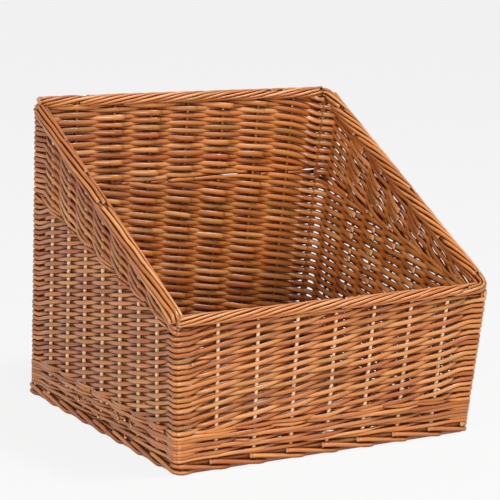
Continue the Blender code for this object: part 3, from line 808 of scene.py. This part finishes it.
def willow_finish(name, colours, lift, roughness, painted_shade_share):
    """Buffed willow: boiled with its bark and peeled, so its tannin stains it from straw to
    chestnut. The eye sees rods of unlike tone, long faint streaks, small dark knots and a satin
    sheen. Shade where rods lie close is painted into its colour."""
    _, tree, shader = new_material(name)
    look = add_node(tree, "Attribute", {"attribute_name": "rod_look"})
    look = add_node(tree, "SeparateXYZ", None, {0: look.outputs["Vector"]})
    tone_share, tint_share = look.outputs[0], look.outputs[1]
    place = add_node(tree, "UVMap", {"uv_map": "rod_uv"})
    place = add_node(tree, "SeparateXYZ", None, {0: place})
    # Each pattern's scale is counted in sixteenths of a metre along the rod, and each rod cuts
    # its own slice of it
    along = add_node(tree, "Math", {"operation": "MULTIPLY", 1: 16.0}, {0: place})
    rod_seed = add_node(tree, "Math", {"operation": "MULTIPLY", 1: 97.0}, {0: tone_share})
    # Streaks about 45 mm long and a quarter of the rod's girth wide
    turn = add_node(tree, "Math", {"operation": "MULTIPLY", 1: math.tau}, {0: place.outputs[1]})
    across = add_node(tree, "Math", {"operation": "SINE"}, {0: turn})
    grain = add_node(tree, "CombineXYZ", None, {0: along, 1: across, 2: rod_seed})
    streak = add_node(
        tree, "TexNoise", {"Scale": 1.4, "Detail": 3.0, "Roughness": 0.6}, {"Vector": grain})
    # Blotches of tannin about 70 mm long
    blotch = add_node(tree, "CombineXYZ", None, {0: along, 2: rod_seed})
    blotch = add_node(tree, "TexNoise", {"Scale": 0.9, "Detail": 1.0}, {"Vector": blotch})
    # Tone from the darkest willow, 0, to the palest, 1
    tone = add_node(
        tree, "Math", {"operation": "MULTIPLY_ADD", 1: 0.42, 2: 0.01 + lift}, {0: tone_share})
    for pattern in (streak, blotch):
        tone = add_node(
            tree, "Math", {"operation": "MULTIPLY_ADD", 1: 0.28}, {0: pattern, 2: tone})
    ramp = add_node(tree, "ValToRGB", None, {0: tone})
    stops = (
        (0.0, colours.dark), (0.30, colours.brown), (0.58, colours.buff), (0.84, colours.pale),
        (1.0, colours.peeled))
    for spot, _ in stops[1:-1]:
        ramp.color_ramp.elements.new(spot)
    for element, (spot, tint) in zip(ramp.color_ramp.elements, stops):
        element.position = spot
        element.color = (*tint, 1)
    # Knots where side shoots were, some 4 mm long and 35 mm apart
    knot = add_node(tree, "CombineXYZ", None, {0: along, 1: place.outputs[1], 2: rod_seed})
    knot = add_node(tree, "TexVoronoi", {"Scale": 1.8, "feature": "F1"}, {"Vector": knot})
    # Painted shade: ambient occlusion within 12 mm darkens the colour where rods lie close together
    painted_crevice_shade = add_node(tree, "AmbientOcclusion", {"samples": 4, "Distance": 0.012})
    # About one rod in five is redder and one in six greener, knots are dark, and painted shade
    # darkens the rods where they lie on each other: what sets each tint's share, from where to
    # where, and the share at both
    tints = (
        (tint_share, 0.78, 1.0, 0.0, 0.45, colours.red),
        (tint_share, 0.16, 0.0, 0.0, 0.3, colours.olive),
        (knot.outputs["Distance"], 0.06, 0.16, 0.55, 0.0, colours.dark),
        (painted_crevice_shade.outputs["AO"], 0.42, 0.97, painted_shade_share, 0.0, colours.painted_crevice_shade))
    tinted = ramp.outputs[0]
    for source, low, high, low_share, high_share, tint in tints:
        share = add_node(
            tree, "MapRange", {1: low, 2: high, 3: low_share, 4: high_share}, {0: source})
        tinted = add_node(
            tree, "Mix", {"data_type": "RGBA", 7: (*tint, 1)}, {0: share, 6: tinted}).outputs[2]
    tree.links.new(tinted, shader.inputs["Base Color"])
    gloss = add_node(
        tree, "MapRange", {1: 0.3, 2: 0.7, 3: roughness - 0.06, 4: roughness + 0.10}, {0: streak})
    tree.links.new(gloss.outputs[0], shader.inputs["Roughness"])
    bump = add_node(tree, "Bump", {"Strength": 0.35, "Distance": 0.0004}, {"Height": streak})
    tree.links.new(bump.outputs[0], shader.inputs["Normal"])
    shader.inputs["IOR"].default_value = 1.5
    shader.inputs["Specular IOR Level"].default_value = 0.5


def cut_finish(name, colours):
    """Slanting cut through a willow rod: pale wood with a darker pith, quite dull."""
    _, tree, shader = new_material(name)
    spot = add_node(tree, "TexCoord")
    # Specks about a millimetre apart
    noise = add_node(
        tree, "TexNoise", {"Scale": 900.0, "Detail": 2.0}, {"Vector": spot.outputs["Object"]})
    mix = add_node(
        tree, "Mix", {"data_type": "RGBA", 6: (*colours.cut, 1), 7: (*colours.buff, 1)},
        {0: noise})
    tree.links.new(mix.outputs[2], shader.inputs["Base Color"])
    shader.inputs["Roughness"].default_value = 0.7


class BASKET_OT_materials(bpy.types.Operator):
    """Willow finishes: buffed rods, thick butts and cut ends"""
    bl_idname = "basket.materials"
    bl_label = "Willow finishes"

    def execute(self, context):
        colours = context.scene.basket_colours
        # Each finish: its name, the lift of its tone, its roughness and its share of painted
        # crevice shade
        for name, lift, roughness, painted_shade_share in (
                # Painted light: the thick butts' tone is lifted a little and their painted shade
                # lessened, for the light the floor reflects onto the foot
                ("buffed_willow_rod", -0.02, 0.25, 1.0), ("thick_willow_butt", 0.05, 0.36, 0.9),
                # Painted light: the lit stakes' finish, lifted towards the palest colour with
                # little painted shade
                ("willow_border_rod", 0.0, 0.27, 1.0), ("painted_lit_willow_stake", 0.50, 0.30, 0.1)):
            willow_finish(name, colours, lift, roughness, painted_shade_share)
        cut_finish("cut_willow_end", colours)
        return {"FINISHED"}


# Frame, base and foot


class BASKET_OT_stakes(bpy.types.Operator):
    """Side stakes and corner posts"""
    bl_idname = "basket.stakes"
    bl_label = "Stakes and posts"

    def execute(self, context):
        sizes = context.scene.basket_sizes
        rng = np.random.default_rng([sizes.seed, 21])
        bottom = wale_bottom(sizes)
        inside_border = sizes.level_border * STAKE_COVER
        numbers = range(1, GAPS)
        for wall, (left, _, normal) in WALLS.items():
            starts, ends = [], []
            for number in numbers:
                starts.append(wall_point(sizes, wall, number / GAPS, bottom))
                if normal[0]:
                    height = below_slope(
                        sizes, lambda height: deep_at(sizes, wall, number, height))
                else:
                    height = corner_top(sizes, left) - inside_border
                ends.append(wall_point(sizes, wall, number / GAPS, height))
            looks = rod_looks(rng, len(starts), (0.5, 0.6), (0.45, 0.2))
            radii = np.full(len(starts), sizes.stake_diameter / 2)
            # Painted light: stakes of the front and left walls take the lit pale finish, and those
            # of the back and right walls, in shade, take the plain rod finish
            finish = "painted_lit_willow_stake" if wall in ("front", "left") else "buffed_willow_rod"
            piece = straight_rods(
                wall + "_stakes", starts, ends, radii, looks, 10, 14, finish, 0.0006)
            place_piece(piece, "stake", *[f"{wall}_stake_{number}" for number in numbers])
        posts = {
            (-1, -1): "left_front", (-1, 1): "left_back", (1, -1): "right_front",
            (1, 1): "right_back"}
        for corner, name in posts.items():
            if corner[1] < 0:
                top = sizes.front_height - inside_border
            else:
                top = below_slope(
                    sizes, lambda height: corner_line(sizes, corner, height, sizes.post_inset)[1])
            insets = (sizes.post_inset, LINER_INSET)
            starts = [corner_line(sizes, corner, bottom, inset) for inset in insets]
            ends = [corner_line(sizes, corner, top, inset) for inset in insets]
            looks = rod_looks(rng, 2, (0.4, 0.6), (0.3, 0.2))
            piece = straight_rods(
                name + "_post", starts, ends, [sizes.post_diameter / 2, LINER_RADIUS], looks,
                12, 12, "thick_willow_butt")
            place_piece(piece, "thick_rod", name + "_corner_post")
        return {"FINISHED"}


class BASKET_OT_base(bpy.types.Operator):
    """Base sticks and the bands of rods woven across them"""
    bl_idname = "basket.base"
    bl_label = "Base"

    def execute(self, context):
        sizes = context.scene.basket_sizes
        rng = np.random.default_rng([sizes.seed, 31])
        sticks = [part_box(f"base_stick_{number}") for number in range(1, 8)]
        weave_low, weave_high = (Vector(corner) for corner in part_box("base_weave"))
        weave_low, weave_high = weave_low - BASE_MARGIN, weave_high + BASE_MARGIN
        stick_low, stick_high = sticks[0]
        centre_height = (stick_low.z + stick_high.z) / 2
        places = np.array([(low.x + high.x) / 2 for low, high in sticks])
        radius = (stick_high.z - stick_low.z) / 2
        starts = [(place, stick_low.y, centre_height) for place in places]
        ends = [(place, stick_high.y, centre_height) for place in places]
        looks = rod_looks(rng, len(sticks), (0.4, 0.6), (0.2, 0.2))
        piece = straight_rods(
            "base_sticks", starts, ends, np.full(len(sticks), radius), looks, 10, 14,
            "thick_willow_butt")
        place_piece(piece, "thick_rod", *[f"base_stick_{number}" for number in range(1, 8)])

        # Rods lie side by side in each band and go over and under the sticks together, by half a
        # cosine wave between two sticks
        depth = weave_high.y - weave_low.y
        bands = int((depth + 0.0006) / BAND_WIDTH)
        pitch = depth / bands / PER_BAND
        count = bands * PER_BAND
        samples = np.linspace(0, GAPS, GAPS * 6 + 1)
        station = np.tile(samples, count)
        rods = np.repeat(np.arange(count), len(samples))
        band = rods // PER_BAND
        low = np.clip(np.floor(station), 0, GAPS - 1).astype(int)
        low_side = np.where(low == 0, 1.0, plain_side(band, low + 1))
        high_side = np.where(low == GAPS - 1, 1.0, plain_side(band, low + 2))
        wave = np.cos(math.pi * (station - low))
        swing = (low_side + high_side) / 2 + (low_side - high_side) / 2 * wave
        drop = swing * (radius + BASE_ROD / 2 + 0.0002)
        across = np.interp(
            station, np.arange(GAPS + 1), np.r_[weave_low.x, places, weave_high.x])
        shift = wobble([sizes.seed, 33], rods * 13.3 + station * 1.9) * 0.0002
        deep = weave_low.y + (rods + 0.5) * pitch + shift
        centres = np.stack([across, deep, centre_height - drop], -1)
        thick = rng.uniform(0.93, 1.0, count)[rods] * BASE_ROD / 2
        piece = tubes(
            "base_weavers", centres, polyline_tangents(centres, rods), np.array([0.0, 1.0, 0.0]),
            thick, rods, rng.uniform(0, 1, (count, 3)), 8, "buffed_willow_rod", 1.32)
        place_piece(piece, "weaver", "base_weave")
        return {"FINISHED"}


def foot_route(sizes, wall, inset, bend, station):
    """Points of a foot rod along a wall, at an inset. Within the bend's radius of a corner it
    leaves the straight line by a circle, up to the mitre, and past the mitre it runs on along the
    next wall."""
    names = list(WALLS)
    number = names.index(wall)
    mitre = bend * (1 - DIAGONAL)

    def along(name, station):
        *corners, normal = WALLS[name]
        start, stop = (corner_line(sizes, corner, 0.0, inset) for corner in corners)
        station = np.clip(station, 0, GAPS)
        reach = np.linalg.norm(stop - start)
        middle = reach / 2
        run = middle + (station / GAPS * reach - middle) * (middle - mitre) / middle
        within = np.clip(bend - np.minimum(run, reach - run), 0, None)
        extra = bend - np.sqrt(np.clip(bend ** 2 - within ** 2, 1e-10, None))
        straight = start + run[:, None] * (stop - start) / reach
        return straight - extra[:, None] * np.array(normal, float)

    before = along(names[number - 1], station + GAPS)
    after = along(names[(number + 1) % 4], station - GAPS)
    spot = np.where((station < 0)[:, None], before, along(wall, station))
    return np.where((station > GAPS)[:, None], after, spot)


class BASKET_OT_foot(bpy.types.Operator):
    """Foot border of rods that overlap like shingles"""
    bl_idname = "basket.foot"
    bl_label = "Foot border"

    def execute(self, context):
        sizes = context.scene.basket_sizes
        radius = sizes.foot_rod_diameter / 2
        high, low = sizes.foot_height - radius, radius
        for number, wall in enumerate(WALLS):
            rng = np.random.default_rng([sizes.seed, 41, number])
            points, rods, looks, thick = [], [], [], []

            def add(inset, bend, first, last, height, tucked, scale):
                """A shingle's last part is tucked inwards, under the wall."""
                station = np.linspace(first, last, 20)
                share = (station - first) / (last - first)
                spot = foot_route(sizes, wall, inset, bend, station)
                if tucked:
                    inward = smooth_step(np.clip((share - TUCK_START) / TUCK_LENGTH, 0, 1))
                    deeper = foot_route(sizes, wall, inset + 2 * radius, bend, station)
                    spot = spot + (deeper - spot) * inward[:, None]
                spot[:, 2] = height(share)
                points.append(spot)
                rods.append(np.full(len(spot), len(looks)))
                looks.append(rod_looks(rng, 1, (0.7, 0.8), (0.05, 0.2))[0])
                thick.append(radius * scale * (1.0 - 0.10 * share))

            for gap in range(GAPS):
                first = gap + SHINGLE_START + rng.uniform(-0.04, 0.04)
                if gap == 0 and wall == "left":
                    first += 0.22
                last = first + SHINGLE_LENGTH + rng.uniform(-0.03, 0.03)
                knee = rng.uniform(0.44, 0.48)

                def falling(share):
                    """From the foot's top to the floor, a little steeper in the middle."""
                    ease = np.clip(share / (1.6 * knee), 0, 1)
                    steeper = 1 + 0.4 * (1 - ease) * (2 * ease - 1)
                    return high + (low - high) * ease * steeper

                add(radius + 0.0001, SHINGLE_BEND, first, last, falling, True,
                    rng.uniform(0.95, 1.0))
            for inset, level in PACKING:
                for gap in range(0, GAPS, 2):
                    first = gap + rng.uniform(-0.1, 0.1)
                    last = min(first + PACKING_LENGTH, GAPS + 0.1)
                    add(inset, PACKING_BEND, first, last, lambda share: level, False,
                        rng.uniform(1.0, 1.12))
            centres, rods = np.concatenate(points), np.concatenate(rods)
            piece = tubes(
                wall + "_foot_rods", centres, polyline_tangents(centres, rods), UP,
                np.concatenate(thick), rods, looks, 12, "thick_willow_butt")
            place_piece(piece, "foot_rod", "foot_border_" + wall)
        return {"FINISHED"}


class BASKET_OT_waling(bpy.types.Operator):
    """Waled band round the foot of the four walls, and cut tips"""
    bl_idname = "basket.waling"
    bl_label = "Waled band"

    def execute(self, context):
        sizes = context.scene.basket_sizes
        tall = sizes.waler_height / sizes.waler_depth * WALE_FULLNESS
        for wall in WALLS:
            weave_piece(
                sizes, wall + "_wale_rods", wale(sizes, wall), "waler", wall + "_wale", tall)
        rng = np.random.default_rng([sizes.seed, 61])
        for wall, tips in TIPS.items():
            station, height, run, fall, radius = np.array(tips).T
            back = station - run / TIP_GAP
            starts = wall_point(sizes, wall, back / GAPS, height + fall, TIP_START)
            ends = wall_point(sizes, wall, station / GAPS, height, TIP_END - radius)
            looks = rod_looks(rng, len(tips), (0.4, 0.6), (0.4, 0.2))
            piece = straight_rods(
                wall + "_cut_tips", starts, ends, radius, looks, 10, 4, "buffed_willow_rod", 0.0)
            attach(piece, "root")
        return {"FINISHED"}


class BASKET_OT_randing(bpy.types.Operator):
    """Randed weave of the four walls, below and above the transition line"""
    bl_idname = "basket.randing"
    bl_label = "Randed walls"

    def execute(self, context):
        sizes = context.scene.basket_sizes
        tall = sizes.weaver_height / sizes.weaver_depth
        tiers = (("_lower", lower_weave), ("_upper", upper_weave))
        for wall, fuller in FULLNESS.items():
            for tier, lay in (("", lower_weave),) if wall == "front" else tiers:
                weave_piece(
                    sizes, f"{wall}{tier}_weavers", lay(sizes, wall), "weaver",
                    f"{wall}_weave{tier}", tall * fuller)
        return {"FINISHED"}


# Borders


def rounded_route(corners, radius):
    """Route through corner points: straight between them, and at each inner corner a parabola that
    starts and ends at the radius' distance from the corner. Returned at even steps of length."""
    corners = np.asarray(corners, float)
    points = [corners[:1]]
    for before, corner, after in zip(corners, corners[1:], corners[2:]):
        start, stop = (
            corner + (end - corner) / np.linalg.norm(end - corner) * radius
            for end in (before, after))
        share = np.linspace(0, 1, 9)[:, None]
        rounded = start * (1 - share) ** 2 + corner * 2 * share * (1 - share) + stop * share ** 2
        points.append(rounded)
    points = np.concatenate([*points, corners[-1:]])
    run = np.r_[0, np.cumsum(np.linalg.norm(np.diff(points, axis=0), axis=1))]
    even = np.linspace(0, run[-1], int(run[-1] / ROUTE_STEP) + 2)
    route = np.stack([np.interp(even, run, points[:, axis]) for axis in range(3)], -1)
    return route, even


def bundle(name, route, even, outward, ring, thickness, twist_length, seed, window, node):
    """Rolled border: rods wound round a route. A rod's centre lies off the route by the ring's
    radius at an angle that starts at its own value and falls by a full turn for each twist
    length. Inner rods fill the middle. Only the stretch of the route in the window is made."""
    rng = np.random.default_rng(seed)
    tangent = np.gradient(route, axis=0)
    tangent /= np.linalg.norm(tangent, axis=1)[:, None]
    out = outward - (outward * tangent).sum(1)[:, None] * tangent
    out /= np.linalg.norm(out, axis=1)[:, None]
    up = np.cross(tangent, out)
    up *= np.sign(up[:, 2:3] + 1e-9)
    inside = (even >= window[0]) & (even <= window[1])
    points, rods, looks, thick = [], [], [], []

    def add(first, last, angle, distance, scale):
        use = inside & (even >= first) & (even <= last)
        if use.sum() < 3:
            return
        place = even[use]
        turn = angle - math.tau * place / twist_length
        turn = turn + 0.10 * wobble([seed, len(looks), 1], place * 40)
        reach = distance * ring[use] * (1 + 0.05 * wobble([seed, len(looks), 2], place * 50))
        spot = route[use] + reach[:, None] * (
            np.cos(turn)[:, None] * out[use] + np.sin(turn)[:, None] * up[use])
        points.append(spot)
        rods.append(np.full(len(spot), len(looks)))
        looks.append(rod_looks(rng, 1, (0.9, 1), (0.1, 0))[0])
        used = (place - first) / max(last - first, 0.01)
        thick.append(thickness[use] * scale * (1 - 0.12 * used))

    # Rods 0.32 to 0.55 m long follow each other in each strand
    for number in range(STRANDS):
        first = even[0] - rng.uniform(0, 0.4)
        while first < even[-1]:
            last = first + rng.uniform(0.32, 0.55)
            add(max(first, even[0] + rng.uniform(0, 0.004)),
                min(last, even[-1] - rng.uniform(0, 0.004)),
                math.tau * number / STRANDS, 1.0, rng.uniform(0.92, 1.04))
            first = last + 0.004
    for number in range(CORE_STRANDS):
        angle = math.tau * number / CORE_STRANDS
        add(even[0] + 0.002, even[-1] - 0.002, angle, CORE_DISTANCE, 1.0)
    centres, rods = np.concatenate(points), np.concatenate(rods)
    tangents = polyline_tangents(centres, rods)
    references = np.cross(tangents, np.array([0.31, 0.57, 0.76]))
    piece = tubes(
        name, centres, tangents, references, np.concatenate(thick), rods, looks, 10,
        "willow_border_rod")
    place_piece(piece, "border_rod", node)


def border_routes(sizes):
    """Corner points of the borders' routes. One route runs from the back left corner along the
    back, down the right slope and along the front, and the other up the left slope."""
    level, slope = sizes.level_border / 2, sizes.slope_border / 2
    angle = slope_angle(sizes)
    half, front_rim, _ = corner_line(sizes, (1, -1), sizes.front_height, 0.0)
    back_rim = corner_line(sizes, (1, 1), sizes.back_height, 0.0)[1]
    front_y, back_y = front_rim + level, back_rim - level
    slope_z = sizes.front_height - slope / math.cos(angle)

    def on_slope(side, deep):
        return side, deep, slope_z + (deep - front_rim) * math.tan(angle)

    side = half - slope
    start = -half + 0.004
    back_level = sizes.back_height - level
    front_level = sizes.front_height - level
    corner_level = (back_level + on_slope(side, back_y)[2]) / 2
    main = [
        (start, back_y, back_level), (side, back_y, corner_level),
        (side, front_y, front_level + 0.001), (start, front_y, front_level)]
    left = [
        (-side, front_y + 0.002, front_level - 0.008), on_slope(-side, front_y + 0.004),
        on_slope(-side, back_y + 0.002)]
    return main, left


class BASKET_OT_borders(bpy.types.Operator):
    """Rolled borders of the rim"""
    bl_idname = "basket.borders"
    bl_label = "Rim borders"

    def execute(self, context):
        main, left = border_routes(context.scene.basket_sizes)
        route, even = rounded_route(main, MAIN_ROUNDING)
        lengths = np.cumsum([np.linalg.norm(np.subtract(b, a)) for a, b in zip(main, main[1:])])
        # The rounding shortens the route, so the turns come a little before the plain lengths
        first_turn, second_turn = lengths[0] - 0.008, lengths[1] - 0.020

        def reached(distance, over):
            return np.clip(distance / over, 0, 1)

        steep = reached(even - first_turn + 0.01, 0.03) * reached(second_turn + 0.01 - even, 0.03)
        ring = LEVEL_RING + (SLOPE_RING - LEVEL_RING) * steep
        rod = LEVEL_ROD + (SLOPE_ROD - LEVEL_ROD) * steep
        to_side = reached(even - first_turn + 0.02, 0.04)
        to_front = reached(even - second_turn + 0.02, 0.04)
        outward = np.stack([
            to_side * (1 - to_front), (1 - to_side) - to_front, np.zeros(len(even))], -1)
        # Never parallel to the route
        outward += 1e-3
        for name, first, last in (
                ("back_border", even[0], first_turn),
                ("right_slope_border", first_turn - STRETCH_OVERLAP, second_turn),
                ("front_border", second_turn - STRETCH_OVERLAP, even[-1])):
            bundle(
                name + "_rods", route, even, outward, ring, rod, MAIN_TWIST, 51, (first, last),
                name)
        route, even = rounded_route(left, LEFT_ROUNDING)
        level = np.ones(len(even))
        bundle(
            "left_slope_border_rods", route, even, np.array([[-1.0, 0, 0]]), SLOPE_RING * level,
            SLOPE_ROD * level, LEFT_TWIST, 52, (even[0], even[-1]), "left_slope_border")
        return {"FINISHED"}


# Stage


def seen_ray(tree):
    """Socket that is 1 for rays that come from the camera, also by way of gloss or glass."""
    ray = add_node(tree, "LightPath")
    seen = ray.outputs["Is Camera Ray"]
    for kind in ("Is Glossy Ray", "Is Transmission Ray"):
        seen = add_node(
            tree, "Math", {"operation": "MAXIMUM"}, {0: seen, 1: ray.outputs[kind]}).outputs[0]
    return seen


def pale_floor():
    """Round white floor that stays nearly white to the camera and keeps a faint shadow."""
    angle = np.linspace(0, math.tau, FLOOR_CORNERS, endpoint=False)
    verts = np.stack([
        FLOOR_RADIUS * np.cos(angle), FLOOR_RADIUS * np.sin(angle),
        np.full(FLOOR_CORNERS, -FLOOR_DROP)], -1)
    mesh = bpy.data.meshes.new("studio_floor")
    mesh.from_pydata(verts.tolist(), [], [list(range(FLOOR_CORNERS))])
    floor = bpy.data.objects.new("studio_floor", mesh)
    bpy.context.scene.collection.objects.link(floor)
    material, tree, shader = new_material("white_floor_paper")
    tree.nodes.remove(shader)
    share = add_node(
        tree, "Math", {"operation": "MULTIPLY", 1: FLOOR_WHITE}, {0: seen_ray(tree)})
    matt = add_node(tree, "BsdfDiffuse", {"Color": (0.55, 0.55, 0.55, 1)})
    white = add_node(tree, "Emission", {"Color": (1, 1, 1, 1), "Strength": 1.0})
    mix = add_node(tree, "MixShader", None, {0: share, 1: matt, 2: white})
    tree.links.new(mix.outputs[0], tree.nodes["Material Output"].inputs["Surface"])
    mesh.materials.append(material)


def soft_lamp(name, place, target, size, power):
    """Square area lamp aimed at a point."""
    data = bpy.data.lights.new(name, "AREA")
    data.size = size
    data.energy = power
    lamp = bpy.data.objects.new(name, data)
    lamp.location = place
    lamp.rotation_euler = (Vector(target) - Vector(place)).to_track_quat("-Z", "Y").to_euler()
    bpy.context.scene.collection.objects.link(lamp)


def light_air(scene):
    """World that lights the basket plainly and is white where it is seen."""
    world = bpy.data.worlds.new("studio_air")
    scene.world = world
    world.use_nodes = True
    tree = world.node_tree
    plain, white = (
        add_node(tree, "Background", {"Color": (1, 1, 1, 1), "Strength": strength})
        for strength in (AIR_STRENGTH, 1.0))
    mix = add_node(tree, "MixShader", None, {0: seen_ray(tree), 1: plain, 2: white})
    tree.links.new(mix.outputs[0], tree.nodes["World Output"].inputs["Surface"])


def place_camera(scene):
    """Camera of the picture, at the given place and turn, which were fitted to the basket's outer
    corners, with its small roll.
    """
    yaw, pitch, roll = (math.radians(value) for value in CAMERA_TURN)
    ahead = Vector((math.sin(yaw), math.cos(yaw), 0)) * math.cos(pitch)
    forward = ahead - Vector((0, 0, math.sin(pitch)))
    level_right = Vector((math.cos(yaw), -math.sin(yaw), 0))
    level_up = level_right.cross(forward)
    right = level_right * math.cos(roll) + level_up * math.sin(roll)
    up = right.cross(forward)
    data = bpy.data.cameras.new("picture_camera")
    data.sensor_width = SENSOR
    data.lens = FOCAL_PIXELS / PICTURE_PIXELS * SENSOR
    camera = bpy.data.objects.new("picture_camera", data)
    turn = Matrix((right, up, -forward)).transposed().to_4x4()
    camera.matrix_world = Matrix.Translation(CAMERA_PLACE) @ turn
    scene.collection.objects.link(camera)
    scene.camera = camera


class BASKET_OT_stage(bpy.types.Operator):
    """Pale floor, soft studio lamps and the camera"""
    bl_idname = "basket.stage"
    bl_label = "Stage"

    def execute(self, context):
        scene = context.scene
        scene.view_settings.view_transform = "Standard"
        pale_floor()
        for lamp in LAMPS:
            soft_lamp(*lamp)
        light_air(scene)
        place_camera(scene)
        return {"FINISHED"}


class BASKET_PT_panel(bpy.types.Panel):
    """Steps that build the basket"""
    bl_label = "Willow display basket"
    bl_idname = "BASKET_PT_panel"
    bl_space_type = "VIEW_3D"
    bl_region_type = "UI"
    bl_category = "Basket"

    def draw(self, context):
        for step in STEPS:
            self.layout.operator(step.bl_idname)


STEPS = (
    BASKET_OT_materials, BASKET_OT_stakes, BASKET_OT_base, BASKET_OT_foot, BASKET_OT_waling,
    BASKET_OT_randing, BASKET_OT_borders, BASKET_OT_stage)
CLASSES = (BasketSizes, BasketColours, *STEPS, BASKET_PT_panel)


def register():
    for item in CLASSES:
        bpy.utils.register_class(item)
    bpy.types.Scene.basket_sizes = PointerProperty(type=BasketSizes)
    bpy.types.Scene.basket_colours = PointerProperty(type=BasketColours)


def unregister():
    del bpy.types.Scene.basket_colours
    del bpy.types.Scene.basket_sizes
    for item in reversed(CLASSES):
        bpy.utils.unregister_class(item)


def main():
    register()
    bpy.ops.basket.materials()
    bpy.ops.basket.stakes()
    bpy.ops.basket.base()
    bpy.ops.basket.foot()
    bpy.ops.basket.waling()
    bpy.ops.basket.randing()
    bpy.ops.basket.borders()
    bpy.ops.basket.stage()
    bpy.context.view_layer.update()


if __name__ == "__main__":
    main()
